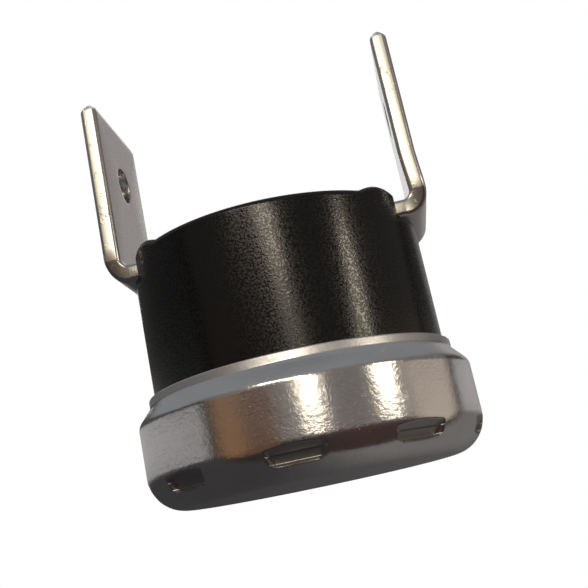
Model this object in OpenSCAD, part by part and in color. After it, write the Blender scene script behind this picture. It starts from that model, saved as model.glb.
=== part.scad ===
// Snap-disc bimetal switch: a crimped aluminium heat cap, a moulded housing with two upright
// push-on tabs, and inside them a dished disc that lifts a pin and opens a pair of contacts.
// Millimetres. The origin is the centre of the flat sensing face, +Z towards the tabs,
// and the tabs stand at -X (left) and +X (right).

/* [Heat cap] */
// Outer diameter of the cap
cap_d = 15.8; // [15.4:0.1:18]
// Thickness of the cap's sheet
cap_sheet = 0.5; // [0.4:0.05:0.6]
// Outer radius of the cap's bottom edge
cap_corner_r = 1.6; // [1.2:0.1:1.8]
// Height of the cap's straight wall above the sensing face
cap_wall_h = 4.15; // [3.8:0.05:4.4]
// Height of the sloped part of the crimp
crimp_slope_h = 0.6; // [0.5:0.05:0.9]
// Height of the collar that hugs the housing
crimp_collar_h = 0.4; // [0.3:0.05:0.9]
// Outer radius where the wall turns into the crimp
crimp_corner_r = 0.5; // [0.2:0.05:0.6]
// Thickness that the collar's lip is drawn down to
crimp_lip_t = 0.25; // [0.15:0.05:0.4]
// Number of pressed stand-off dents round the bottom edge, the first of them at -Y
dent_count = 9; // [4:1:10]
// Width of one dent at its back
dent_w = 1.8; // [1.4:0.1:2.4]
// Extra width at each end of a dent where it opens in the wall
dent_flare = 0.35; // [0.2:0.05:0.6]
// Height of one dent
dent_h = 0.75; // [0.6:0.05:0.9]
// Height of a dent's lower edge above the sensing face
dent_z = 0.65; // [0.45:0.05:0.8]
// Depth of a dent, measured in from the cap's wall
dent_depth = 0.55; // [0.45:0.05:0.8]

/* [Housing] */
// Diameter of the moulded housing above the cap
body_d = 13.9; // [13.4:0.1:14.2]
// Height of the housing's rim above the sensing face
body_h = 11.8; // [11.4:0.1:14]
// Radius on the housing's outer rim edge
rim_edge_r = 0.25; // [0.1:0.05:0.4]
// Depth of the recess that the terminal feet lie in
recess_depth = 1.05; // [0.9:0.05:1.3]
// Thickness of the rim wall round the recess
rim_wall = 1.05; // [0.8:0.05:1.3]
// Thickness of the floor between the recess and the switch chamber
floor_t = 1.55; // [1.2:0.05:1.7]
// Thickness of the wall round the switch chamber
chamber_wall = 1.35; // [1.2:0.05:1.5]
// Height of the humps beside the terminal slots
hump_h = 0.3; // [0.1:0.05:0.5]
// Width of a hump along the rim
hump_w = 2.3; // [1.6:0.1:3]

/* [Terminals] */
// Width of a push-on tab
tab_w = 6.3; // [5.6:0.1:6.6]
// Thickness of the terminal sheet
tab_t = 0.8; // [0.6:0.05:0.9]
// Height of the tabs above the recess floor
tab_rise = 9.45; // [8:0.05:12]
// Clear distance between the two tabs
tab_span = 13.86; // [13.6:0.02:15]
// Inside radius of the bend
bend_r = 0.4; // [0.3:0.05:0.6]
// Chamfer on the tab's top corners
tab_chamfer = 0.4; // [0.2:0.1:1.2]
// Length of the bevel that thins the tab's leading edge
tab_lead = 0.6; // [0.3:0.05:1]
// Thickness of the tab's leading edge
tab_edge_t = 0.4; // [0.3:0.05:0.5]
// Diameter of the detent hole
tab_hole_d = 1.8; // [1.4:0.05:2]
// Distance of the detent hole below the tab's top
tab_hole_drop = 3.45; // [3:0.05:4]
// Width of the foot round its rivet
foot_w = 3.8; // [3.4:0.1:4.4]

/* [Rivets] */
// Distance of each rivet's axis in from the chamber wall
rivet_inset = 2.2; // [2.1:0.05:2.3]
// Diameter of the rivet shank
rivet_d = 2; // [1.6:0.05:2.1]
// Diameter of the rivet's upper head
rivet_head_d = 3.2; // [2.6:0.1:3.4]
// Height of the rivet's upper head
rivet_head_h = 0.4; // [0.3:0.05:0.5]
// Diameter of the hollow in the rivet
rivet_hollow_d = 1; // [0.6:0.1:1.2]
// Depth of the hollow in the rivet
rivet_hollow_h = 1.2; // [0.8:0.1:1.6]
// Diameter of the clinched lower end
clinch_d = 2.6; // [2.4:0.05:2.7]
// Height of the clinched lower end
clinch_h = 0.4; // [0.3:0.05:0.5]

/* [Snap disc and pin] */
// Thickness of the bimetal disc
disc_t = 0.25; // [0.2:0.01:0.3]
// Depth of the disc's dish when cold
disc_dish = 0.32; // [0.25:0.01:0.4]
// Thickness of the pin guide's plate
guide_t = 0.8; // [0.6:0.05:1]
// Outer diameter of the guide's central boss
guide_boss_d = 4.4; // [3.6:0.1:4.8]
// Height of the guide's central boss above its plate
guide_boss_h = 1.65; // [1.2:0.05:1.8]
// Width of the ring under the guide that traps the disc's rim
guide_ring_w = 1; // [0.6:0.1:1.6]
// Diameter of the ceramic transfer pin
pin_d = 2; // [1.6:0.05:2.2]
// Chamfer on the pin's ends
pin_chamfer = 0.25; // [0.1:0.05:0.4]

/* [Contacts] */
// Thickness of the contact spring
spring_t = 0.2; // [0.15:0.01:0.25]
// Width of the contact spring
spring_w = 2.7; // [2.2:0.1:3]
// Drop of the contact spring below the chamber's ceiling
spring_drop = 2.6; // [2.4:0.05:2.8]
// Distance of the contacts' axis in from the chamber wall
contact_inset = 2.3; // [2.25:0.05:2.5]
// Diameter of a contact button
contact_d = 2.4; // [2:0.05:2.5]
// Height of a contact button
contact_h = 0.5; // [0.4:0.05:0.6]
// Diameter of a contact's shank
contact_shank_d = 1.2; // [1:0.05:1.4]
// Diameter of a contact's riveted end
contact_back_d = 1.8; // [1.6:0.05:2]
// Height of a contact's riveted end
contact_back_h = 0.2; // [0.15:0.05:0.3]
// Thickness of the fixed contact's bracket
bracket_t = 0.4; // [0.3:0.05:0.5]
// Width of the fixed contact's bracket
bracket_w = 3; // [2.6:0.1:3.2]

/* [Clearances] */
// Side clearance of a fitted plate or disc
fit = 0.1; // [0.06:0.01:0.15]
// Radial clearance of a rivet or pin in its hole
hole_fit = 0.03; // [0.02:0.01:0.05]
// Gap where two moving pieces just meet
touch = 0.02; // [0.01:0.01:0.03]

/* [Hidden] */
$fn = 96;

// Facets in the quarter arc of a turned profile
arc_steps = 8;
// Overlap that keeps cuts clean
cut = 0.5;

cap_r = cap_d / 2;
cap_in_r = cap_r - cap_sheet;
cap_in_corner_r = cap_corner_r - cap_sheet;
body_r = body_d / 2;
crimp_top = cap_wall_h + crimp_slope_h;
cap_top = crimp_top + crimp_collar_h;
lip_in_r = body_r + fit / 2;
lip_out_r = lip_in_r + crimp_lip_t;
crimp_angle = atan2(cap_r - lip_out_r, crimp_slope_h);
// The rounded corner starts this far below the point where wall and slope would meet
crimp_corner_drop = crimp_corner_r * tan(crimp_angle / 2);

// The dents stand in as ledges: the guide rests on them and the disc lies inside them
ledge_in_r = cap_r - dent_depth - cap_sheet;
ledge_top = dent_z + dent_h + cap_sheet;
disc_r = ledge_in_r - fit;
disc_low = cap_sheet + touch;
disc_ball_r = (disc_r * disc_r + disc_dish * disc_dish) / (2 * disc_dish);
disc_rim_top = disc_low + disc_dish + disc_t;

guide_z = ledge_top;
guide_r = cap_in_r - fit;
housing_z = guide_z + guide_t;
flange_r = cap_in_r - fit;
recess_z = body_h - recess_depth;
recess_r = body_r - rim_wall;
chamber_r = body_r - chamber_wall;
chamber_top = recess_z - floor_t;
rivet_x = chamber_r - rivet_inset;
contact_x = chamber_r - contact_inset;

tab_in = tab_span / 2;
tab_out = tab_in + tab_t;
tab_top = recess_z + tab_rise;
foot_top = recess_z + tab_t;
foot_taper = tab_w / 2 - foot_w / 2;
slot_w = tab_w + 2 * fit;
// A hump's crown is a cylinder whose chord at the rim is the hump's width
hump_r = (hump_w * hump_w / 4 + hump_h * hump_h) / (2 * hump_h);
hump_angle = asin(slot_w / 2 / body_r) + hump_w / 2 / body_r * 180 / PI;

spring_top = chamber_top - spring_drop;
spring_low = spring_top - spring_t;
spring_boss_d = clinch_d + 2 * fit;
spring_pad_d = clinch_d + 4 * fit;
fixed_face = spring_low - contact_h - touch;
bracket_shelf = fixed_face - contact_h;
bracket_out = sqrt(pow(chamber_r - fit, 2) - bracket_w * bracket_w / 4);
bracket_bend = bracket_t;
pin_low = disc_low + disc_t + touch;
pin_top = spring_low - touch;

// Points of a quarter arc about [x, z], from angle a0 to a1
function arc(x, z, r, a0, a1) =
    [for (i = [0:arc_steps]) let (a = a0 + (a1 - a0) * i / arc_steps) [x + r * cos(a), z + r * sin(a)]];

// A plain disc or tube between two heights
module tube(r, z0, z1, hole_r = 0) {
    translate([0, 0, z0]) difference() {
        cylinder(r = r, h = z1 - z0);
        if (hole_r > 0) translate([0, 0, -cut]) cylinder(r = hole_r, h = z1 - z0 + 2 * cut);
    }
}

// A flat outline in X and Z, given its width along Y
module across(width) {
    translate([0, width / 2, 0]) rotate([90, 0, 0]) linear_extrude(width) children();
}

// A quarter of a ring in X and Z for a bent sheet, in the quadrant that sx and sz point to
module bend_arc(x, z, r_in, t, sx, sz) {
    translate([x, z]) intersection() {
        difference() {
            circle(r_in + t);
            circle(r_in);
        }
        scale_x = sx * (r_in + t);
        scale_z = sz * (r_in + t);
        polygon([[0, 0], [scale_x, 0], [scale_x, scale_z], [0, scale_z]]);
    }
}

// Pocket of one dent, flared towards the outside
module dent_pocket() {
    in_r = cap_r - dent_depth;
    out_r = cap_r + cut;
    flare = dent_flare * (out_r - in_r) / dent_depth;
    translate([0, 0, dent_z]) linear_extrude(dent_h)
        polygon([[in_r, -dent_w / 2], [out_r, -dent_w / 2 - flare],
                 [out_r, dent_w / 2 + flare], [in_r, dent_w / 2]]);
}

// Metal behind one dent: its back, its ends and the ledge above it, standing on the cap's floor
module dent_ledge() {
    width = dent_w + 2 * cap_sheet + 2 * dent_flare;
    translate([ledge_in_r, -width / 2, 0]) cube([dent_depth + cap_sheet / 2, width, ledge_top]);
}

module at_each_dent() {
    for (i = [0:dent_count - 1]) rotate([0, 0, 360 / dent_count * i - 90]) children();
}

module cap_outside() {
    rotate_extrude() polygon(concat(
        [[0, 0]],
        arc(cap_r - cap_corner_r, cap_corner_r, cap_corner_r, -90, 0),
        arc(cap_r - crimp_corner_r, cap_wall_h - crimp_corner_drop, crimp_corner_r, 0, crimp_angle),
        [[lip_out_r, crimp_top], [lip_out_r, cap_top], [0, cap_top]]));
}

module cap_inside() {
    rotate_extrude() polygon(concat(
        [[0, cap_sheet]],
        arc(cap_in_r - cap_in_corner_r, cap_corner_r, cap_in_corner_r, -90, 0),
        [[cap_in_r, cap_wall_h], [lip_in_r, crimp_top], [lip_in_r, cap_top + cut], [0, cap_top + cut]]));
}

// Drawn cup with a crimped lip and pressed stand-off dents
module heat_cap() {
    color([0.78, 0.78, 0.79]) difference() {
        union() {
            difference() {
                cap_outside();
                cap_inside();
            }
            intersection() {
                cap_outside();
                at_each_dent() dent_ledge();
            }
        }
        at_each_dent() dent_pocket();
    }
}

// Outer form of the moulding: flange under the crimp, plain barrel, rounded rim
module housing_outside() {
    rotate_extrude() polygon(concat(
        [[0, housing_z], [flange_r, housing_z], [flange_r, cap_wall_h], [body_r, crimp_top - fit]],
        arc(body_r - rim_edge_r, body_h - rim_edge_r, rim_edge_r, 0, 90),
        [[0, body_h]]));
}

// Rounded humps on the rim beside each terminal slot
module rim_humps() {
    for (side = [0, 180], turn = [-1, 1]) intersection() {
        tube(body_r - rim_edge_r / 2, body_h - rim_edge_r, body_h + hump_h + cut, recess_r);
        rotate([0, 0, side + turn * hump_angle])
            translate([0, 0, body_h + hump_h - hump_r])
                rotate([0, 90, 0]) cylinder(r = hump_r, h = cap_r);
    }
}

module housing() {
    color([0.05, 0.05, 0.055]) difference() {
        union() {
            difference() {
                union() {
                    housing_outside();
                    rim_humps();
                }
                tube(recess_r, recess_z, body_h + hump_h + cut);
                tube(chamber_r, housing_z - cut, chamber_top);
            }
            translate([rivet_x, 0, 0]) tube(spring_boss_d / 2, spring_top, chamber_top + cut);
        }
        for (side = [-1, 1]) {
            translate([side * rivet_x, 0, 0])
                tube(rivet_d / 2 + hole_fit, spring_top - cut, recess_z + cut);
            translate([side * body_r, 0, recess_z + body_h / 2])
                cube([body_r, slot_w, body_h], center = true);
        }
    }
}

// Dished disc, low in the middle while cold
module bimetal_disc() {
    color([0.72, 0.68, 0.6]) translate([0, 0, disc_low]) intersection() {
        translate([0, 0, disc_ball_r + disc_t]) difference() {
            sphere(r = disc_ball_r + disc_t, $fn = 192);
            sphere(r = disc_ball_r, $fn = 192);
        }
        tube(disc_r, -cut, disc_dish + disc_t + cut);
    }
}

// Moulded plate that closes the chamber, traps the disc's rim and guides the pin
module pin_guide() {
    color([0.16, 0.1, 0.07]) difference() {
        union() {
            tube(guide_r, guide_z, guide_z + guide_t);
            tube(guide_boss_d / 2, guide_z, guide_z + guide_t + guide_boss_h);
            tube(disc_r, disc_rim_top + touch, guide_z + guide_t / 2, disc_r - guide_ring_w);
        }
        tube(pin_d / 2 + hole_fit, guide_z - cut, guide_z + guide_t + guide_boss_h + cut);
    }
}

// Ceramic rod between the disc and the contact spring
module transfer_pin() {
    color([0.92, 0.9, 0.85]) rotate_extrude() polygon([
        [0, pin_low], [pin_d / 2 - pin_chamfer, pin_low], [pin_d / 2, pin_low + pin_chamfer],
        [pin_d / 2, pin_top - pin_chamfer], [pin_d / 2 - pin_chamfer, pin_top], [0, pin_top]]);
}

// Section of a terminal: flat foot, bend and upright tab with a thinned leading edge
module terminal_section() {
    bend_x = tab_in - bend_r;
    bend_z = foot_top + bend_r;
    thin = (tab_t - tab_edge_t) / 2;
    translate([rivet_x - foot_w / 2, recess_z]) square([bend_x - rivet_x + foot_w / 2, tab_t]);
    bend_arc(bend_x, bend_z, bend_r, tab_t, 1, -1);
    polygon([[tab_in, bend_z], [tab_out, bend_z], [tab_out, tab_top - tab_lead],
             [tab_out - thin, tab_top], [tab_in + thin, tab_top], [tab_in, tab_top - tab_lead]]);
}

// Outline of the foot seen from above, full height
module foot_outline() {
    shoulder_x = rivet_x + foot_w / 2;
    linear_extrude(tab_top + cut) {
        translate([rivet_x, 0]) circle(d = foot_w);
        translate([rivet_x, -foot_w / 2]) square([foot_w / 2, foot_w]);
        polygon([[shoulder_x - foot_taper, -foot_w / 2], [shoulder_x, -tab_w / 2],
                 [tab_out + cut, -tab_w / 2], [tab_out + cut, tab_w / 2],
                 [shoulder_x, tab_w / 2], [shoulder_x - foot_taper, foot_w / 2]]);
    }
}

// Outline of the tab seen from its broad side, with chamfered top corners
module tab_outline() {
    half = tab_w / 2;
    rotate([90, 0, 90]) linear_extrude(tab_out + cut)
        polygon([[-half, 0], [half, 0], [half, tab_top - tab_chamfer], [half - tab_chamfer, tab_top],
                 [tab_chamfer - half, tab_top], [-half, tab_top - tab_chamfer]]);
}

// One-piece terminal for the +X side
module terminal() {
    color([0.8, 0.79, 0.77]) difference() {
        intersection() {
            across(tab_w) terminal_section();
            foot_outline();
            tab_outline();
        }
        translate([rivet_x, 0, 0]) tube(rivet_d / 2 + hole_fit, recess_z - cut, foot_top + cut);
        translate([tab_in - cut, 0, tab_top - tab_hole_drop])
            rotate([0, 90, 0]) cylinder(d = tab_hole_d, h = tab_t + 2 * cut);
    }
}

module left_terminal() {
    mirror([1, 0, 0]) terminal();
}

module right_terminal() {
    terminal();
}

// Semi-tubular rivet from the foot down to the underside of what it clamps
module rivet(low) {
    head_r = rivet_head_d / 2;
    color([0.8, 0.72, 0.5]) difference() {
        union() {
            translate([0, 0, foot_top]) rotate_extrude() polygon(concat(
                [[0, 0], [head_r, 0]],
                arc(head_r - rivet_head_h, 0, rivet_head_h, 0, 90),
                [[0, rivet_head_h]]));
            tube(rivet_d / 2, low - clinch_h / 2, foot_top + rivet_head_h / 2);
            tube(clinch_d / 2, low - clinch_h, low);
        }
        tube(rivet_hollow_d / 2, foot_top + rivet_head_h - rivet_hollow_h, foot_top + rivet_head_h + cut);
    }
}

module left_rivet() {
    translate([-rivet_x, 0, 0]) rivet(chamber_top - bracket_t);
}

module right_rivet() {
    translate([rivet_x, 0, 0]) rivet(spring_low);
}

// Bent strip that carries the fixed contact below the spring's free end
module contact_bracket() {
    pad_in = rivet_x - clinch_d / 2;
    shelf_in = contact_x - contact_d / 2;
    bend_x = bracket_out - bracket_t - bracket_bend;
    high_z = chamber_top - bracket_t - bracket_bend;
    low_z = bracket_shelf + bracket_bend;
    color([0.78, 0.6, 0.34]) difference() {
        mirror([1, 0, 0]) across(bracket_w) {
            translate([pad_in, chamber_top - bracket_t]) square([bend_x - pad_in, bracket_t]);
            bend_arc(bend_x, high_z, bracket_bend, bracket_t, 1, 1);
            translate([bracket_out - bracket_t, low_z]) square([bracket_t, high_z - low_z]);
            bend_arc(bend_x, low_z, bracket_bend, bracket_t, 1, -1);
            translate([shelf_in, bracket_shelf - bracket_t]) square([bend_x - shelf_in, bracket_t]);
        }
        translate([-rivet_x, 0, 0])
            tube(rivet_d / 2 + hole_fit, chamber_top - bracket_t - cut, chamber_top + cut);
        translate([-contact_x, 0, 0])
            tube(contact_shank_d / 2 + hole_fit, bracket_shelf - bracket_t - cut, bracket_shelf + cut);
    }
}

// A contact rivet: button between two heights, shank through its carrier and a riveted end
module contact_rivet(face, seat, back) {
    up = back > seat ? 1 : -1;
    color([0.86, 0.86, 0.84]) translate([-contact_x, 0, 0]) {
        tube(contact_d / 2, min(face, seat), max(face, seat));
        tube(contact_shank_d / 2, min(face, back), max(face, back));
        tube(contact_back_d / 2, min(back, back + up * contact_back_h), max(back, back + up * contact_back_h));
    }
}

module fixed_contact() {
    contact_rivet(fixed_face, bracket_shelf, bracket_shelf - bracket_t);
}

module moving_contact() {
    contact_rivet(spring_low - contact_h, spring_low, spring_top);
}

// Flat leaf riveted under the housing's boss, carrying the moving contact at its free end
module contact_spring() {
    color([0.83, 0.56, 0.36]) translate([0, 0, spring_low]) linear_extrude(spring_t) difference() {
        union() {
            translate([rivet_x, 0]) circle(d = spring_pad_d);
            translate([-contact_x, -spring_w / 2]) square([rivet_x + contact_x, spring_w]);
            translate([-contact_x, 0]) circle(d = spring_w);
        }
        translate([rivet_x, 0]) circle(r = rivet_d / 2 + hole_fit);
        translate([-contact_x, 0]) circle(r = contact_shank_d / 2 + hole_fit);
    }
}

housing();
heat_cap();
bimetal_disc();
pin_guide();
transfer_pin();
left_terminal();
right_terminal();
left_rivet();
right_rivet();
contact_bracket();
fixed_contact();
contact_spring();
moving_contact();
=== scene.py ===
"""Looks of a snap-disc bimetal switch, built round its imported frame."""
import math

import bmesh
import bpy
from mathutils import Matrix, Vector

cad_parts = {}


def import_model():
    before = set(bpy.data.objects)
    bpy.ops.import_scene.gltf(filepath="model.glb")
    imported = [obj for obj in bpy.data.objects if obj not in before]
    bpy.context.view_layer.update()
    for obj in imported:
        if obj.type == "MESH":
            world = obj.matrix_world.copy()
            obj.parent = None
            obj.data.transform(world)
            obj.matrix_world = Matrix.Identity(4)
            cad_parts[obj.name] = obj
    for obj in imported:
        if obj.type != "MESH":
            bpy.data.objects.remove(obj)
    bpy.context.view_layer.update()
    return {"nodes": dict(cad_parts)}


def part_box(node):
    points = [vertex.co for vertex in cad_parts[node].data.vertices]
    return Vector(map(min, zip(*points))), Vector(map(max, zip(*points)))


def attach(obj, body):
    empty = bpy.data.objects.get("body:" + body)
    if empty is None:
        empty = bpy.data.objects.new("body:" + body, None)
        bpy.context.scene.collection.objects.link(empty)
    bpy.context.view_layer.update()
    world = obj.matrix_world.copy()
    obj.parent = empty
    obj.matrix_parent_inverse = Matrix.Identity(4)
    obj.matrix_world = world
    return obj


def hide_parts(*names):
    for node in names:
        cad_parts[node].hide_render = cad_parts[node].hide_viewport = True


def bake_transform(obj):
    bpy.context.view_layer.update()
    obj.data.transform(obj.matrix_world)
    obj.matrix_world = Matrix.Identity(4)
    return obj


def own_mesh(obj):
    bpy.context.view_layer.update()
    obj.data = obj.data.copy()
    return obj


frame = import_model()

MM = 0.001

# Sizes that the frame gives
cap_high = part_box("heat_cap")[1]
housing_low, housing_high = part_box("housing")
tab_low, tab_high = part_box("right_terminal")
rivet_low, rivet_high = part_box("right_rivet")
left_rivet_low, left_rivet_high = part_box("left_rivet")
disc_low, disc_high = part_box("bimetal_disc")
spring_low, spring_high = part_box("contact_spring")
contact_low, contact_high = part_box("moving_contact")
pin_low, pin_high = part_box("transfer_pin")

CAP_R = cap_high.x
CAP_TOP = cap_high.z
FLANGE_R = housing_high.x
HOUSING_Z = housing_low.z
RIVET_X = (rivet_low.x + rivet_high.x) / 2
RECESS_Z = tab_low.z
TAB_TOP = tab_high.z
TAB_OUT = tab_high.x
TAB_HALF = tab_high.y
FOOT_END = tab_low.x
CONTACT_X = -(contact_low.x + contact_high.x) / 2

# Sizes of the cap
CAP_SHEET = 0.5 * MM
CAP_CORNER_R = 1.6 * MM
CAP_WALL_H = 3.98 * MM
CRIMP_IN_Z = 4.15 * MM
CRIMP_TOP = 4.75 * MM
CRIMP_CORNER_R = 0.5 * MM
LIP_IN_R = 7.0 * MM
LIP_OUT_R = 7.25 * MM
LIP_EDGE_R = 0.08 * MM
LOOP_GAP = 0.05 * MM

# Sizes of a dent: its crease parts a sloped brow from a sloped back, and a lip rises below its seat
DENT_COUNT = 9
DENT_START = math.radians(-90)
DENT_CREASE_R = CAP_R - 0.34 * MM
DENT_CREASE_Z = 1.07 * MM
DENT_CREASE_H = 0.05 * MM
DENT_SEAT_Z = 0.77 * MM
DENT_HALF = 0.95 * MM
CREASE_SLOPE = 0.2
BROW_SLOPE = 1.11
BACK_SLOPE = 0.78
LIP_SLOPE = 1.3
END_SLOPE = 1.3
END_FLARE = 0.5
DENT_REACH = 2.6 * MM
DENT_REACH_Z = 2.4 * MM
DENT_REACH_IN = 0.7 * MM
DENT_ROUNDING = 0.03 * MM
INNER_LIFT = 0.6
PRESSED_START = 0.08 * MM
PRESSED_FADE = 0.14 * MM

# The sheet is drawn in a little round each dent
DRAW_DEPTH = 0.06 * MM
DRAW_Z = 0.45 * MM
DRAW_HALF = 1.5 * MM
DRAW_H = 0.6 * MM

# Sizes of the housing
BODY_R = 6.95 * MM
BODY_H = 11.8 * MM
HUMP_H = housing_high.z - BODY_H
HUMP_HALF = 1.15 * MM
RIM_EDGE_R = 0.25 * MM
RIM_IN_EDGE_R = 0.12 * MM
RIM_LOOP_GAP = 0.03 * MM
SOFT_EDGE = 0.05 * MM
RECESS_R = 5.9 * MM
CHAMBER_R = 5.6 * MM
CHAMBER_TOP = 9.2 * MM
FLANGE_TOP = 4.65 * MM
FIT = 0.1 * MM
SLOT_HALF = TAB_HALF + FIT

# Sizes of the terminals and rivets
TAB_T = 0.8 * MM
TAB_IN = TAB_OUT - TAB_T
BEND_R = 0.4 * MM
TAB_CHAMFER = 0.4 * MM
TAB_LEAD = 0.6 * MM
TAB_EDGE_R = 0.2 * MM
HOLE_EDGE_R = 0.06 * MM
BEND_DRAW = 0.11
RIGHT_TWIST = math.radians(-1.8)
TWIST_START = 0.2 * MM
TWIST_RISE = 1.5 * MM
BLADE_CUT = 0.6 * MM
BEND_STEPS = 16
LEAD_CUTS = (0.0, 0.2, 0.4, 0.55, 0.7, 0.8, 0.9, 0.96)
LEAD_END = 0.98
TAB_HOLE_R = 0.9 * MM
TAB_HOLE_DROP = 3.45 * MM
FOOT_R = RIVET_X - FOOT_END
RIVET_R = 1.0 * MM
RIVET_HOLLOW_R = 0.5 * MM
RIVET_HOLLOW_H = 1.2 * MM
RIVET_HEAD_H = 0.4 * MM
RIVET_LIP_R = 0.1 * MM
CLINCH_R = 1.3 * MM
CLINCH_H = 0.4 * MM
HOLE_FIT = 0.03 * MM

# Sizes of the disc and the contact spring
DISC_T = 0.25 * MM
DISC_R = disc_high.x
DISC_DISH = disc_high.z - disc_low.z - DISC_T
SPRING_T = spring_high.z - spring_low.z
SPRING_HALF = 1.35 * MM
SPRING_PAD_R = 1.5 * MM
CONTACT_SHANK_R = 0.6 * MM
LEAF_EDGE_R = 0.03 * MM
LEAF_CUT = 0.2 * MM

# Sizes of the transfer pin
PIN_R = pin_high.x
PIN_CHAMFER = 0.08 * MM
PIN_CONE = 0.2
PIN_NOSE = 0.008 * MM


class Field:
    """An output socket of a node tree. Arithmetic on it adds Math nodes."""

    def __init__(self, tree, socket=None):
        self.tree = tree
        self.socket = socket

    def node(self, kind, settings, inputs, output=0):
        """Adds a node: its settings first, then the values or links of its sockets."""
        made = self.tree.nodes.new("ShaderNode" + kind)
        for name, value in settings.items():
            setattr(made, name, value)
        for key, value in inputs.items():
            if isinstance(value, Field):
                self.tree.links.new(value.socket, made.inputs[key])
            else:
                made.inputs[key].default_value = value
        return Field(self.tree, made.outputs[output])

    def maths(self, operation, first, second):
        return self.node("Math", {"operation": operation}, {0: first, 1: second})

    def __add__(self, other):
        return self.maths("ADD", self, other)

    __radd__ = __add__

    def __sub__(self, other):
        return self.maths("SUBTRACT", self, other)

    def __rsub__(self, other):
        return self.maths("SUBTRACT", other, self)

    def __mul__(self, other):
        return self.maths("MULTIPLY", self, other)

    __rmul__ = __mul__

    def step(self, low, high):
        """Rises smoothly from 0 at low to 1 at high."""
        ranges = {1: low, 2: high, 3: 0.0, 4: 1.0}
        return self.node("MapRange", {"interpolation_type": "SMOOTHSTEP"}, {0: self, **ranges})

    def mix(self, low, high):
        """Blends two colours by this value."""
        return self.node("Mix", {"data_type": "RGBA"}, {0: self, 6: low, 7: high}, 2)


def rgb(red, green, blue):
    return (red, green, blue, 1.0)


def new_material(name):
    """A material with a Principled shader. Gives the material, the shader and object coordinates."""
    material = bpy.data.materials.new(name)
    material.use_nodes = True
    shader = material.node_tree.nodes["Principled BSDF"]
    base = Field(material.node_tree)
    return material, shader, base.node("TexCoord", {}, {}, "Object")


def feed(shader, **fields):
    """Links fields, or sets plain values, on a shader's sockets. Underscores stand for spaces."""
    for name, value in fields.items():
        socket = shader.inputs[name.replace("_", " ")]
        if isinstance(value, Field):
            value.tree.links.new(value.socket, socket)
        else:
            socket.default_value = value


def stretched(place, x, y, z):
    """Coordinates scaled by so many pattern cells a metre on each axis."""
    return place.node("Mapping", {}, {"Vector": place, "Scale": (x, y, z)})


def grain(place, detail=2.0, roughness=0.5):
    look = {"Scale": 1.0, "Detail": detail, "Roughness": roughness}
    return place.node("TexNoise", {}, {"Vector": place, **look})


def cells_per(size):
    """Pattern cells a metre for a feature of that size."""
    return 1.0 / size


def even(place, size):
    return stretched(place, cells_per(size), cells_per(size), cells_per(size))


def bumped(height, distance):
    return height.node("Bump", {}, {"Height": height, "Distance": distance, "Strength": 1.0})


def drawn_aluminium():
    """Bright drawn sheet with fine pitting and marks, rougher and duller on the crimped collar and in the
    dents, where painted shade also darkens the dents.
    """
    material, shader, place = new_material("drawn_aluminium")
    height = place.node("SeparateXYZ", {}, {"Vector": place}, "Z")
    collar = height.step(CRIMP_TOP - 0.1 * MM, CRIMP_TOP + 0.1 * MM)
    pressed = place.node("Attribute", {"attribute_name": "pressed"}, {}, "Fac")
    pits = grain(even(place, 0.16 * MM), 3.0, 0.65)
    waves = grain(even(place, 0.7 * MM), 2.0)
    haze = grain(even(place, 2.6 * MM), 3.0)
    scuffs = grain(stretched(place, 500.0, 500.0, 9000.0), 2.0).step(0.62, 0.72)
    specks = grain(even(place, 0.06 * MM), 1.0).step(0.7, 0.76)
    bright = haze.step(0.3, 0.7).mix(rgb(0.78, 0.775, 0.77), rgb(0.84, 0.835, 0.83))
    feed(shader, Metallic=1.0)
    # Painted shade: the pressed dents get a darker base colour, which also dims their highlights.
    feed(shader, Base_Color=pressed.mix(bright, rgb(0.42, 0.41, 0.4)))
    worn = haze * 0.06 + pits * 0.08 + scuffs * 0.06
    feed(shader, Roughness=(worn + collar * 0.22 + pressed * 0.16 + 0.09))
    relief = pits * 1.25 + waves * 1.2 + specks * 0.3 + scuffs * 0.05
    feed(shader, Normal=bumped(relief, 0.006 * MM))
    return material


def black_phenolic():
    """Black moulding with a fine grain that breaks its highlights into specks."""
    material, shader, place = new_material("black_phenolic")
    fine = grain(even(place, 0.11 * MM), 2.0, 0.6)
    glints = grain(even(place, 0.09 * MM), 1.0).step(0.44, 0.6)
    blotch = grain(even(place, 2.2 * MM), 2.0)
    feed(shader, Base_Color=blotch.mix(rgb(0.0015, 0.0015, 0.0015), rgb(0.0028, 0.0027, 0.0026)))
    feed(shader, Roughness=(glints * -0.18 + blotch * 0.05 + 0.26), Specular_IOR_Level=0.5)
    feed(shader, Normal=bumped(fine, 0.0065 * MM))
    return material


def plated_blade():
    """Stamped sheet with dull plating, and paler, brighter metal where the edges were sheared, made brighter
    still as a painted highlight on those edges.
    """
    material, shader, place = new_material("plated_blade")
    sheared = place.node("Attribute", {"attribute_name": "sheared"}, {}, "Fac")
    rolled = grain(stretched(place, 9000.0, 9000.0, 500.0), 2.0)
    cloud = grain(even(place, 1.5 * MM), 3.0)
    nicks = grain(even(place, 0.3 * MM), 2.0).step(0.6, 0.75)
    plating = cloud.mix(rgb(0.66, 0.635, 0.62), rgb(0.74, 0.715, 0.695))
    feed(shader, Metallic=1.0)
    # Sheared edges: paler bare metal, and brighter than that as a painted highlight.
    feed(shader, Base_Color=sheared.mix(plating, rgb(0.94, 0.95, 0.87)))
    feed(shader, Roughness=(cloud * 0.12 + nicks * 0.06 + sheared * 0.11 + 0.2))
    feed(shader, Normal=bumped(rolled * 0.4 + nicks * sheared * 1.1, 0.006 * MM))
    return material


def turned_metal(name, low, high, roughness):
    """A satin inner metal with fine turning marks and slight staining."""
    material, shader, place = new_material(name)
    stain = grain(even(place, 0.7 * MM), 3.0)
    marks = grain(stretched(place, 3000.0, 3000.0, 12000.0), 2.0)
    feed(shader, Metallic=1.0, Base_Color=stain.mix(low, high))
    feed(shader, Roughness=(stain * 0.15 + roughness))
    feed(shader, Normal=bumped(marks, 0.003 * MM))
    return material


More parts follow.
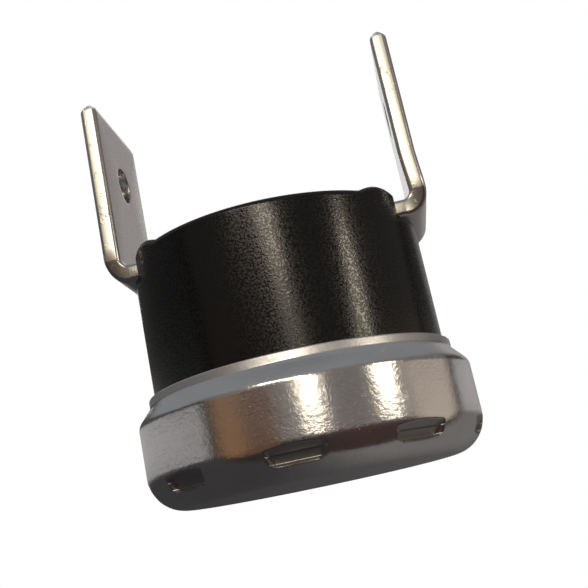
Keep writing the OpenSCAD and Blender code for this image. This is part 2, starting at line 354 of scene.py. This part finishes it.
def moulded(name, low, high, roughness):
    """A matte inner moulding or ceramic with a fine grain."""
    material, shader, place = new_material(name)
    cloud = grain(even(place, 0.8 * MM), 3.0)
    fine = grain(even(place, 0.12 * MM), 2.0)
    feed(shader, Base_Color=cloud.mix(low, high), Roughness=(fine * 0.15 + roughness))
    feed(shader, Normal=bumped(fine, 0.006 * MM))
    return material


def arc(x, z, radius, start, end, steps):
    """Points of an arc in X and Z, angles in degrees."""
    turns = [math.radians(start + (end - start) * i / steps) for i in range(steps + 1)]
    return [(x + radius * math.cos(a), z + radius * math.sin(a)) for a in turns]


def line(start, end, steps):
    """Points along a straight stretch, without its first one."""
    return [(start[0] + (end[0] - start[0]) * i / steps, start[1] + (end[1] - start[1]) * i / steps)
            for i in range(1, steps + 1)]


def spun(outline, steps, closed=False):
    """An outline in X and Z turned round the Z axis. An open outline starts and ends on the axis."""
    bm = bmesh.new()
    verts = [bm.verts.new((x, 0.0, z)) for x, z in outline]
    pairs = list(zip(verts, verts[1:]))
    if closed:
        pairs.append((verts[-1], verts[0]))
    edges = [bm.edges.new(pair) for pair in pairs]
    bmesh.ops.spin(bm, geom=verts + edges, axis=(0, 0, 1), cent=(0, 0, 0), dvec=(0, 0, 0),
                   angle=math.tau, steps=steps, use_merge=True, use_duplicate=False)
    bmesh.ops.remove_doubles(bm, verts=bm.verts, dist=0.0005 * MM)
    bmesh.ops.recalc_face_normals(bm, faces=bm.faces)
    return bm


def made_object(bm, name, material, sharp_angle=35.0):
    """Turns a bmesh into a smooth shaded object with sharp creases."""
    mesh = bpy.data.meshes.new(name)
    bm.to_mesh(mesh)
    bm.free()
    mesh.shade_smooth()
    mesh.set_sharp_from_angle(angle=math.radians(sharp_angle))
    if material is not None:
        mesh.materials.append(material)
    piece = bpy.data.objects.new(name, mesh)
    bpy.context.scene.collection.objects.link(piece)
    return piece


def carve(piece, tool, operation):
    """Applies one Boolean of a tool shape to a piece and removes the tool."""
    modifier = piece.modifiers.new("carve", "BOOLEAN")
    modifier.operation = operation
    modifier.solver = "EXACT"
    modifier.object = tool
    settle(piece)
    bpy.data.objects.remove(tool)


def settle(piece):
    """Makes the shape that the modifiers give the piece's own mesh."""
    bpy.context.view_layer.update()
    depsgraph = bpy.context.evaluated_depsgraph_get()
    mesh = bpy.data.meshes.new_from_object(piece.evaluated_get(depsgraph))
    piece.modifiers.clear()
    piece.data = mesh


def block(low, high):
    """A plain box used as a cutting tool."""
    bm = bmesh.new()
    size = Vector(high) - Vector(low)
    centre = (Vector(high) + Vector(low)) / 2
    bmesh.ops.create_cube(bm, size=1.0, matrix=Matrix.Translation(centre) @ Matrix.Diagonal((*size, 1.0)))
    return made_object(bm, "tool", None)


def rod(x, radius, low, high):
    """A plain upright cylinder used as a tool."""
    bm = bmesh.new()
    place = Matrix.Translation((x, 0.0, (low + high) / 2))
    bmesh.ops.create_cone(bm, cap_ends=True, segments=64, radius1=radius, radius2=radius,
                          depth=high - low, matrix=place)
    return made_object(bm, "tool", None)


def soft_min(first, second, width):
    """The smaller of two values, with the corner between them rounded over that width."""
    share = max(0.0, min(1.0, 0.5 + 0.5 * (second - first) / width))
    return second * (1 - share) + first * share - width * share * (1 - share)


def dent_face(across, height):
    """Depth coordinate of the press tool's face at a place across the dent and a height."""
    above = max(0.0, height - DENT_CREASE_Z)
    below = max(0.0, DENT_CREASE_Z - height)
    back_h = DENT_CREASE_Z - DENT_SEAT_Z
    face = DENT_CREASE_R + min(above, DENT_CREASE_H) * CREASE_SLOPE
    face += max(0.0, above - DENT_CREASE_H) * BROW_SLOPE
    face -= min(below, back_h) * BACK_SLOPE
    face += max(0.0, below - back_h) * LIP_SLOPE
    half = DENT_HALF + (height - DENT_SEAT_Z) * END_FLARE
    return face + max(0.0, abs(across) - half) * END_SLOPE


def corner_radius(height):
    """Outer radius of the cap at a height, round its bottom corner."""
    drop = max(0.0, CAP_CORNER_R - height)
    return CAP_R - CAP_CORNER_R + math.sqrt(max(0.0, CAP_CORNER_R ** 2 - drop ** 2))


def press_dents(bm):
    """Pushes the cap's lower corner in at each dent, inner wall with outer wall, and marks it as pressed,
    for its roughness and its painted shade.
    """
    pitch = math.tau / DENT_COUNT
    inner_limit = DENT_CREASE_R - CAP_SHEET - DENT_REACH_IN
    mark = bm.verts.layers.float.new("pressed")
    for vert in bm.verts:
        radius = math.hypot(vert.co.x, vert.co.y)
        if vert.co.z > DENT_REACH_Z or radius < inner_limit:
            continue
        angle = math.atan2(vert.co.y, vert.co.x)
        middle = DENT_START + round((angle - DENT_START) / pitch) * pitch
        depth = radius * math.cos(angle - middle)
        across = radius * math.sin(angle - middle)
        if abs(across) > DENT_REACH:
            continue
        inner = radius < corner_radius(vert.co.z) - CAP_SHEET / 2
        offset = CAP_SHEET if inner else 0.0
        height = vert.co.z - offset * INNER_LIFT
        drawn = DRAW_DEPTH * math.exp(-(across / DRAW_HALF) ** 2 - ((height - DRAW_Z) / DRAW_H) ** 2)
        face = dent_face(across, height) - offset
        vert[mark] = max(0.0, min(1.0, (depth - face + PRESSED_START) / PRESSED_FADE))
        moved = soft_min(depth - drawn, face, DENT_ROUNDING)
        vert.co.x = moved * math.cos(middle) - across * math.sin(middle)
        vert.co.y = moved * math.sin(middle) + across * math.cos(middle)


def heat_cap():
    """Drawn cup with a crimped lip and pressed dents."""
    slope = math.degrees(math.atan2(CAP_R - LIP_OUT_R, CRIMP_TOP - CAP_WALL_H))
    shoulder = CAP_WALL_H - CRIMP_CORNER_R * math.tan(math.radians(slope / 2))
    inner_r = CAP_R - CAP_SHEET
    outline = [(0.0, 0.0)] + line((0.0, 0.0), (CAP_R - CAP_CORNER_R - LOOP_GAP, 0.0), 6)
    outline += arc(CAP_R - CAP_CORNER_R, CAP_CORNER_R, CAP_CORNER_R, -90, -50, 10)
    outline += arc(CAP_R - CAP_CORNER_R, CAP_CORNER_R, CAP_CORNER_R, -50, 0, 52)[1:]
    outline += line((CAP_R, CAP_CORNER_R), (CAP_R, shoulder - LOOP_GAP), 8)
    outline += arc(CAP_R - CRIMP_CORNER_R, shoulder, CRIMP_CORNER_R, 0, slope, 6)
    outline += line(outline[-1], (LIP_OUT_R + 0.03 * MM, CRIMP_TOP - LOOP_GAP), 4)
    outline += [(LIP_OUT_R + 0.01 * MM, CRIMP_TOP), (LIP_OUT_R, CRIMP_TOP + LOOP_GAP)]
    outline += arc(LIP_OUT_R - LIP_EDGE_R, CAP_TOP - LIP_EDGE_R, LIP_EDGE_R, 0, 90, 4)
    outline += arc(LIP_IN_R + LIP_EDGE_R, CAP_TOP - LIP_EDGE_R, LIP_EDGE_R, 90, 180, 4)
    outline += [(LIP_IN_R, CRIMP_TOP), (inner_r, CRIMP_IN_Z)]
    outline += line((inner_r, CRIMP_IN_Z), (inner_r, CAP_CORNER_R), 8)
    inner_corner_r = CAP_CORNER_R - CAP_SHEET
    outline += arc(inner_r - inner_corner_r, CAP_CORNER_R, inner_corner_r, 0, -90, 12)[1:]
    outline += [(0.0, CAP_SHEET)]
    bm = spun(outline, 720)
    press_dents(bm)
    bmesh.ops.recalc_face_normals(bm, faces=bm.faces)
    return made_object(bm, "heat_cap_shell", drawn_aluminium(), 50.0)


def raise_humps(bm):
    """Lifts the rim's top into a rounded hump on each side of both terminal slots."""
    centre = math.asin(SLOT_HALF / BODY_R) + HUMP_HALF * 0.85 / BODY_R
    for vert in bm.verts:
        if vert.co.z < BODY_H - 2 * RIM_EDGE_R or math.hypot(vert.co.x, vert.co.y) < RECESS_R * 0.9:
            continue
        angle = math.atan2(abs(vert.co.y), abs(vert.co.x))
        away = min(1.0, abs(angle - centre) * BODY_R / (HUMP_HALF * 1.15))
        vert.co.z += HUMP_H * (1 - away ** 2) ** 1.2


def housing():
    """Moulded barrel with a flange under the crimp, a recessed top and a slot for each terminal."""
    outline = [(0.0, CHAMBER_TOP), (CHAMBER_R, CHAMBER_TOP), (CHAMBER_R, HOUSING_Z), (FLANGE_R, HOUSING_Z)]
    outline += [(FLANGE_R, CRIMP_IN_Z), (BODY_R, FLANGE_TOP)]
    outline += line(outline[-1], (BODY_R, BODY_H - RIM_EDGE_R - RIM_LOOP_GAP), 28)
    outline += arc(BODY_R - RIM_EDGE_R, BODY_H - RIM_EDGE_R, RIM_EDGE_R, 0, 90, 6)
    outline += line(outline[-1], (RECESS_R + RIM_IN_EDGE_R, BODY_H), 3)
    outline += arc(RECESS_R + RIM_IN_EDGE_R, BODY_H - RIM_IN_EDGE_R, RIM_IN_EDGE_R, 90, 180, 3)[1:]
    outline += line(outline[-1], (RECESS_R, RECESS_Z), 4)
    outline += [(0.0, RECESS_Z)]
    bm = spun(outline, 288)
    raise_humps(bm)
    piece = made_object(bm, "housing_moulding", black_phenolic())
    over = BODY_H + HUMP_H + FIT
    for side in (-1, 1):
        ends = sorted((side * BODY_R / 2, side * CAP_R))
        carve(piece, block((ends[0], -SLOT_HALF, RECESS_Z), (ends[1], SLOT_HALF, over)), "DIFFERENCE")
    boss_low = spring_high.z
    carve(piece, rod(RIVET_X, CLINCH_R + FIT, boss_low, CHAMBER_TOP + FIT), "UNION")
    for side in (-1, 1):
        carve(piece, rod(side * RIVET_X, RIVET_R + HOLE_FIT, boss_low - FIT, RECESS_Z + FIT), "DIFFERENCE")
    soften = piece.modifiers.new("soften", "BEVEL")
    soften.width = SOFT_EDGE
    soften.segments = 3
    soften.limit_method = "ANGLE"
    soften.angle_limit = math.radians(50)
    soften.harden_normals = True
    settle(piece)
    return piece


def blank(outline, holes, thickness, edge_r, hole_edge_r):
    """A flat stamped sheet in X and Y with holes and rounded edges. Its sheared walls are marked."""
    bm = bmesh.new()
    verts = [bm.verts.new((x, y, 0.0)) for x, y in outline]
    for pair in zip(verts, verts[1:] + verts[:1]):
        bm.edges.new(pair)
    for x, y, radius in holes:
        bmesh.ops.create_circle(bm, cap_ends=False, segments=40, radius=radius,
                                matrix=Matrix.Translation((x, y, 0.0)))
    bmesh.ops.triangle_fill(bm, use_beauty=True, edges=bm.edges[:], normal=(0, 0, 1))
    grown = bmesh.ops.extrude_face_region(bm, geom=bm.faces[:])["geom"]
    top = [g for g in grown if isinstance(g, bmesh.types.BMVert)]
    bmesh.ops.translate(bm, vec=(0, 0, thickness), verts=top)
    bmesh.ops.recalc_face_normals(bm, faces=bm.faces)
    square = [e for e in bm.edges if abs(e.calc_face_angle() - math.pi / 2) < 0.1]
    rims = [e for e in square if abs(e.verts[0].co.z - e.verts[1].co.z) < 1e-7]
    hole_rims = [e for e in rims if any(math.hypot(e.verts[0].co.x - x, e.verts[0].co.y - y) < radius * 1.02
                                        for x, y, radius in holes)]
    outer_rims = [e for e in rims if e not in hole_rims]
    mark = bm.verts.layers.float.new("sheared")
    for edges, radius in ((outer_rims, edge_r), (hole_rims, hole_edge_r)):
        bmesh.ops.bevel(bm, geom=edges, offset=radius, segments=5, profile=0.5, affect="EDGES", material=-1)
    for vert in bm.verts:
        inside = edge_r * 0.7 < vert.co.z < thickness - edge_r * 0.7
        vert[mark] = 1.0 if inside else 0.0
    return bm


def cut_across(bm, places):
    """Adds an edge loop across a sheet at each X place."""
    for x in places:
        bmesh.ops.bisect_plane(bm, geom=bm.verts[:] + bm.edges[:] + bm.faces[:], dist=1e-8,
                               plane_co=(x, 0, 0), plane_no=(1, 0, 0))


def terminal(side, name, material, twist=0.0):
    """One bent terminal: a foot round its rivet, a bend and an upright blade with a rounded tip."""
    bend_x = TAB_IN - BEND_R
    bend_z = RECESS_Z + TAB_T + BEND_R
    middle_r = BEND_R + TAB_T / 2
    bend_length = middle_r * math.pi / 2
    tip = bend_x + bend_length + TAB_TOP - bend_z
    shoulder = RIVET_X + FOOT_R
    neck = shoulder - (TAB_HALF - FOOT_R)
    outline = [(RIVET_X + x, y) for x, y in arc(0.0, 0.0, FOOT_R, 90, 270, 24)]
    outline += [(neck, -FOOT_R), (shoulder, -TAB_HALF), (tip - TAB_CHAMFER, -TAB_HALF)]
    outline += [(tip, TAB_CHAMFER - TAB_HALF), (tip, TAB_HALF - TAB_CHAMFER)]
    outline += [(tip - TAB_CHAMFER, TAB_HALF), (shoulder, TAB_HALF), (neck, FOOT_R)]
    holes = [(RIVET_X, 0.0, RIVET_R + HOLE_FIT), (tip - TAB_HOLE_DROP, 0.0, TAB_HOLE_R)]
    bm = blank(outline, holes, TAB_T, TAB_EDGE_R, HOLE_EDGE_R)
    cut_across(bm, [bend_x + bend_length * i / BEND_STEPS for i in range(BEND_STEPS + 1)])
    lead_start = tip - TAB_LEAD
    cut_across(bm, [lead_start + TAB_LEAD * share for share in LEAD_CUTS])
    twist_start = bend_z + TWIST_START
    cut_across(bm, [bend_x + bend_length + BLADE_CUT * i for i in range(1, 13)])
    for vert in bm.verts:
        along_x, level = vert.co.x, vert.co.z
        lead = max(0.0, min(LEAD_END, (along_x - lead_start) / TAB_LEAD))
        level = TAB_T / 2 + (level - TAB_T / 2) * math.sqrt(1 - lead ** 2)
        turn = max(0.0, min(math.pi / 2, (along_x - bend_x) / middle_r))
        if turn > 0.0:
            swing = BEND_R + TAB_T - level
            vert.co.y *= 1 - BEND_DRAW * (1 - level / TAB_T) * math.sin(2 * turn)
            vert.co.x = bend_x + swing * math.sin(turn)
            vert.co.z = bend_z - swing * math.cos(turn) + max(0.0, along_x - bend_x - bend_length)
        else:
            vert.co.z = RECESS_Z + level
        share = max(0.0, min(1.0, (vert.co.z - twist_start) / TWIST_RISE))
        vert.co.x -= math.sin(twist * share) * vert.co.y
        vert.co.x *= side
    bmesh.ops.recalc_face_normals(bm, faces=bm.faces)
    return made_object(bm, name, material, 30.0)


def rivet(x, low, high, name, material):
    """A semi-tubular rivet with a rolled head and a clinched lower end."""
    head_r = rivet_high.x - RIVET_X
    head_low = high - RIVET_HEAD_H
    lip = RIVET_LIP_R
    outline = [(0.0, low), (CLINCH_R - lip, low)] + arc(CLINCH_R - lip, low + lip, lip, -90, 0, 4)[1:]
    outline += [(CLINCH_R, low + CLINCH_H), (RIVET_R, low + CLINCH_H)]
    outline += [(RIVET_R, head_low), (head_r, head_low)]
    outline += arc(head_r - RIVET_HEAD_H, head_low, RIVET_HEAD_H, 4, 90, 8)
    outline += arc(RIVET_HOLLOW_R + lip * 2, high - lip * 2, lip * 2, 90, 180, 6)
    outline += [(RIVET_HOLLOW_R, high - RIVET_HOLLOW_H), (0.0, high - RIVET_HOLLOW_H - lip)]
    bm = spun(outline, 96)
    bmesh.ops.translate(bm, vec=(x, 0, 0), verts=bm.verts)
    return made_object(bm, name, material)


def bimetal_disc():
    """Dished disc, low in the middle."""
    ball_r = (DISC_R ** 2 + DISC_DISH ** 2) / (2 * DISC_DISH)
    reach = math.degrees(math.asin(DISC_R / ball_r))
    centre = disc_low.z + DISC_T + ball_r
    outline = arc(0.0, centre, ball_r + DISC_T, -90, -90 + reach, 24)
    outline += arc(0.0, centre, ball_r, -90 + reach, -90, 24)
    outline = [(max(0.0, x), z) for x, z in outline]
    bm = spun(outline, 128)
    return made_object(bm, "bimetal_disc_sheet", turned_metal("bimetal", *BIMETAL, 0.3))


def contact_spring():
    """Flat leaf between the right rivet and the moving contact."""
    pad = [(RIVET_X + x, y) for x, y in arc(0.0, 0.0, SPRING_PAD_R, -115, 115, 24)]
    nose = [(-CONTACT_X + x, y) for x, y in arc(0.0, 0.0, SPRING_HALF, 90, 270, 20)]
    holes = [(RIVET_X, 0.0, RIVET_R + HOLE_FIT), (-CONTACT_X, 0.0, CONTACT_SHANK_R + HOLE_FIT)]
    bm = blank(pad + nose, holes, SPRING_T, LEAF_EDGE_R, LEAF_EDGE_R)
    cut_across(bm, [RIVET_X - SPRING_PAD_R + LEAF_CUT * (4 - i) for i in range(20)])
    bmesh.ops.translate(bm, vec=(0, 0, spring_low.z), verts=bm.verts)
    return made_object(bm, "contact_spring_leaf", turned_metal("spring_bronze", *BRONZE, 0.24))


def transfer_pin(material):
    """Ground rod whose upper end is slightly coned, so that the leaf can tip on it."""
    outline = [(0.0, pin_low.z), (PIN_R - PIN_CHAMFER, pin_low.z), (PIN_R, pin_low.z + PIN_CHAMFER)]
    shoulder = pin_high.z - PIN_CONE * PIN_R
    outline += line(outline[-1], (PIN_R, shoulder - PIN_CHAMFER), 6)
    for share in (1.0, 0.7, 0.45, 0.3, 0.2, 0.12, 0.06, 0.0):
        radius = (PIN_R - PIN_CHAMFER) * share
        outline.append((radius, pin_high.z + PIN_NOSE - math.hypot(PIN_CONE * radius, PIN_NOSE)))
    return made_object(spun(outline, 64), "transfer_pin_rod", material)


BRASS = (rgb(0.72, 0.58, 0.33), rgb(0.82, 0.68, 0.42))
SILVER = (rgb(0.8, 0.79, 0.76), rgb(0.9, 0.89, 0.87))
BRONZE = (rgb(0.7, 0.45, 0.28), rgb(0.82, 0.57, 0.37))
BIMETAL = (rgb(0.58, 0.55, 0.5), rgb(0.7, 0.67, 0.61))
BROWN_MOULDING = (rgb(0.1, 0.058, 0.038), rgb(0.15, 0.092, 0.062))
CERAMIC = (rgb(0.8, 0.77, 0.7), rgb(0.88, 0.86, 0.8))


def carried(piece, slot, *nodes):
    """The piece rides on the base and stands for these nodes."""
    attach(piece, "base")
    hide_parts(*nodes)


def build_pieces():
    blade = plated_blade()
    brass = turned_metal("rivet_brass", *BRASS, 0.22)
    carried(heat_cap(), "drawn_aluminium", "heat_cap")
    carried(housing(), "black_moulding", "housing")
    carried(terminal(-1, "left_blade", blade), "plated_blade", "left_terminal")
    carried(terminal(1, "right_blade", blade, RIGHT_TWIST), "plated_blade", "right_terminal")
    left = rivet(-RIVET_X, left_rivet_low.z, left_rivet_high.z, "left_rivet_body", brass)
    right = rivet(RIVET_X, rivet_low.z, rivet_high.z, "right_rivet_body", brass)
    carried(left, "rivet_brass", "left_rivet")
    carried(right, "rivet_brass", "right_rivet")
    disc = bimetal_disc()
    carried(disc, "bimetal", "bimetal_disc")
    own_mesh(disc)
    leaf = contact_spring()
    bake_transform(leaf)
    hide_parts("contact_spring")
    pin = transfer_pin(moulded("ceramic", *CERAMIC, 0.25))
    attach(pin, "pin")
    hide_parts("transfer_pin")
    silver = turned_metal("contact_silver", *SILVER, 0.2)
    dressed = {
        "pin_guide": moulded("brown_moulding", *BROWN_MOULDING, 0.4),
        "contact_bracket": brass,
        "fixed_contact": silver,
        "moving_contact": silver,
    }
    for node, material in dressed.items():
        frame["nodes"][node].data.materials.clear()
        frame["nodes"][node].data.materials.append(material)


# The studio. Directions are (azimuth, elevation) in degrees, azimuth from -Y towards +X.
CAMERA_PLACE = Vector((4.287, -42.884, -1.539)) * MM
CAMERA_RIGHT = Vector((0.97038702, 0.13521298, -0.20016612))
CAMERA_UP = Vector((0.22602968, -0.21598109, 0.94987512))
CAMERA_BACK = Vector((0.08520335, -0.96698998, -0.2401474))
CAMERA_LENS = 55.53
SENSOR = 36.0
LAMP_DISTANCE = 0.16
AIM = Vector((0.0, 0.0, 7.0 * MM))
WARM = (1.0, 0.87, 0.7)
SHEET_SIDE = Vector((-0.4376, 0.7643, -0.4733))
DOME_R = 0.5
FLOOR_HALF = 0.45
FLOOR_DROP = 0.01 * MM
CEILING = rgb(0.225, 0.23, 0.242)
OPEN_AZIMUTHS = (174, 206)
OPEN_HEIGHTS = (0.28, 0.9)


def direction(azimuth, elevation):
    a, e = math.radians(azimuth), math.radians(elevation)
    return Vector((math.sin(a) * math.cos(e), -math.cos(a) * math.cos(e), math.sin(e)))


def camera():
    data = bpy.data.cameras.new("camera")
    data.lens = CAMERA_LENS
    data.sensor_width = SENSOR
    data.clip_start = 1.0 * MM
    data.clip_end = 10.0
    made = bpy.data.objects.new("camera", data)
    axes = Matrix((CAMERA_RIGHT, CAMERA_UP, CAMERA_BACK)).transposed()
    made.matrix_world = Matrix.Translation(CAMERA_PLACE) @ axes.to_4x4()
    bpy.context.scene.collection.objects.link(made)
    bpy.context.scene.camera = made


def softbox(name, azimuth, elevation, width, height, tilt, radiance, shape="RECTANGLE"):
    """A soft warm lamp aimed at the part. Sizes are angles in degrees, and a tilt leans the top left."""
    data = bpy.data.lights.new(name, "AREA")
    data.shape = shape
    data.size = 2 * LAMP_DISTANCE * math.tan(math.radians(width / 2))
    data.size_y = 2 * LAMP_DISTANCE * math.tan(math.radians(height / 2))
    fill = math.pi / 4 if shape == "ELLIPSE" else 1.0
    data.energy = radiance * math.pi * data.size * data.size_y * fill
    data.color = WARM
    lamp = bpy.data.objects.new(name, data)
    out = direction(azimuth, elevation)
    turn = out.to_track_quat("Z", "Y").to_matrix() @ Matrix.Rotation(math.radians(tilt), 3, "Z")
    lamp.matrix_world = Matrix.Translation(AIM + out * LAMP_DISTANCE) @ turn.to_4x4()
    lamp.visible_camera = False
    bpy.context.scene.collection.objects.link(lamp)


def along(place, axis):
    """How far a direction points along an axis, as a field."""
    return place.node("VectorMath", {"operation": "DOT_PRODUCT"}, {0: place, 1: axis}, "Value")


def painted_reflection_cards():
    """Glowing cards round the part that only its reflections show, open high at the back to the white
    ground. They are no lamps: their emission paints the reflections.

    A dim room stands in front, with a warm wall at the right and a brown one at the left,
    and a pale sheet lies behind, at the left and below. All of it is painted reflection, and the sheet
    carries painted shadow where it lies below the part.
    """
    bm = bmesh.new()
    bmesh.ops.create_uvsphere(bm, u_segments=72, v_segments=36, radius=DOME_R)
    opening = []
    for face in bm.faces:
        middle = face.calc_center_median().normalized()
        azimuth = math.degrees(math.atan2(middle.x, -middle.y)) % 360
        at_back = OPEN_AZIMUTHS[0] < azimuth < OPEN_AZIMUTHS[1]
        if at_back and OPEN_HEIGHTS[0] < middle.z < OPEN_HEIGHTS[1]:
            opening.append(face)
    bmesh.ops.delete(bm, geom=opening, context="FACES")
    material, shader, place = new_material("painted_reflection_cards")
    out = place.node("VectorMath", {"operation": "NORMALIZE"}, {0: place})
    up = along(out, (0, 0, 1))
    to_left = along(out, (-1, 0, 0))
    towards_sheet = along(out, SHEET_SIDE)
    # Painted shadow: the sheet is lit above the horizon and darker below it, where the part's shadow falls
    # on it, darkest towards the left.
    lit = up.step(0.0, 0.11)
    below = to_left.step(-0.5, 0.3).mix(rgb(0.17, 0.16, 0.155), rgb(0.045, 0.043, 0.045))
    paper = lit.mix(below, rgb(0.4, 0.385, 0.38))
    paper = up.step(0.13, 0.2).mix(paper, rgb(0.07, 0.068, 0.066))
    paper = up.step(0.34, 0.45).mix(paper, CEILING)
    paper = along(out, direction(165, 18)).step(0.95, 0.975).mix(paper, rgb(0.35, 0.33, 0.32))
    low_room = to_left.step(-0.6, 0.2).mix(rgb(0.05, 0.03, 0.027), rgb(0.025, 0.022, 0.021))
    wall = up.step(-0.03, 0.07).mix(low_room, rgb(0.17, 0.155, 0.145))
    low = 1 - up.step(0.15, 0.21)
    dark_brown = along(out, direction(-32, 2)).step(0.93, 0.97) * low
    brown = along(out, direction(-51, 4)).step(0.95, 0.985) * low
    warm = along(out, direction(100, 10)).step(0.86, 0.95) * low
    room = dark_brown.mix(wall, rgb(0.12, 0.066, 0.045))
    room = brown.mix(room, rgb(0.23, 0.125, 0.062))
    room = warm.mix(room, rgb(0.46, 0.39, 0.33))
    room = up.step(0.45, 0.7).mix(room, CEILING)
    # Painted shadow: a dark band along the sheet's edge, on the room's side, fading out towards the ceiling.
    sheet_edge_shadow = towards_sheet.step(-0.15, -0.07) * (1 - up.step(0.3, 0.6))
    room = sheet_edge_shadow.mix(room, rgb(0.03, 0.025, 0.021))
    glow = towards_sheet.step(-0.03, 0.03).mix(room, paper)
    glow = up.step(0.6, 0.8).mix(glow, CEILING)
    # The emission is painted reflection: the light levels of a room, walls, sheet and ceiling that no lamp
    # here casts.
    feed(shader, Base_Color=rgb(0, 0, 0), Roughness=1.0, Specular_IOR_Level=0.0)
    feed(shader, Emission_Color=glow, Emission_Strength=1.0)
    material.cycles.emission_sampling = "NONE"
    dome = made_object(bm, "painted_reflection_cards", material)
    dome.visible_camera = False
    dome.visible_diffuse = False
    dome.visible_shadow = False
    dome.visible_transmission = False


def floor():
    """Pale floor that is seen from above only, so that a view from below the face stays clear."""
    bm = bmesh.new()
    bmesh.ops.create_grid(bm, x_segments=1, y_segments=1, size=FLOOR_HALF)
    bmesh.ops.translate(bm, vec=(0, 0, -FLOOR_DROP), verts=bm.verts)
    material = bpy.data.materials.new("pale_floor")
    material.use_nodes = True
    tree = material.node_tree
    tree.nodes.clear()
    base = Field(tree)
    matte = base.node("BsdfDiffuse", {}, {"Color": rgb(0.9, 0.9, 0.9)})
    clear = base.node("BsdfTransparent", {}, {})
    under = base.node("NewGeometry", {}, {}, "Backfacing")
    shown = base.node("MixShader", {}, {0: under, 1: matte, 2: clear})
    output = tree.nodes.new("ShaderNodeOutputMaterial")
    tree.links.new(shown.socket, output.inputs["Surface"])
    plane = made_object(bm, "floor", material)
    plane.visible_glossy = False


def world():
    """White to the camera and in reflections, and a plain soft level for the rest of the light."""
    made = bpy.data.worlds.new("world")
    made.use_nodes = True
    bpy.context.scene.world = made
    tree = made.node_tree
    path = tree.nodes.new("ShaderNodeLightPath")
    seen = Field(tree, path.outputs["Is Camera Ray"]) + Field(tree, path.outputs["Is Glossy Ray"])
    seen = seen + Field(tree, path.outputs["Is Transmission Ray"])
    level = seen.step(0.0, 1.0).mix(rgb(0.62, 0.62, 0.62), rgb(1.0, 1.0, 1.0))
    tree.links.new(level.socket, tree.nodes["Background"].inputs["Color"])


camera()
world()
painted_reflection_cards()
floor()
softbox("front_upper", 1, 22.5, 8.5, 24, 51, 9.5, "ELLIPSE")
softbox("front_lower", 8.8, 6.9, 13, 2.8, 0, 6.5)
softbox("side_upper", 60.8, 13.6, 7, 9, 28, 10.5)
softbox("side_lower", 57.5, 7.1, 13, 3.2, -10, 6.5)
softbox("left_lamp", -17.5, 28.5, 10, 8, 0, 8.0)
build_pieces()

scene = bpy.context.scene
scene.view_settings.view_transform = "Standard"
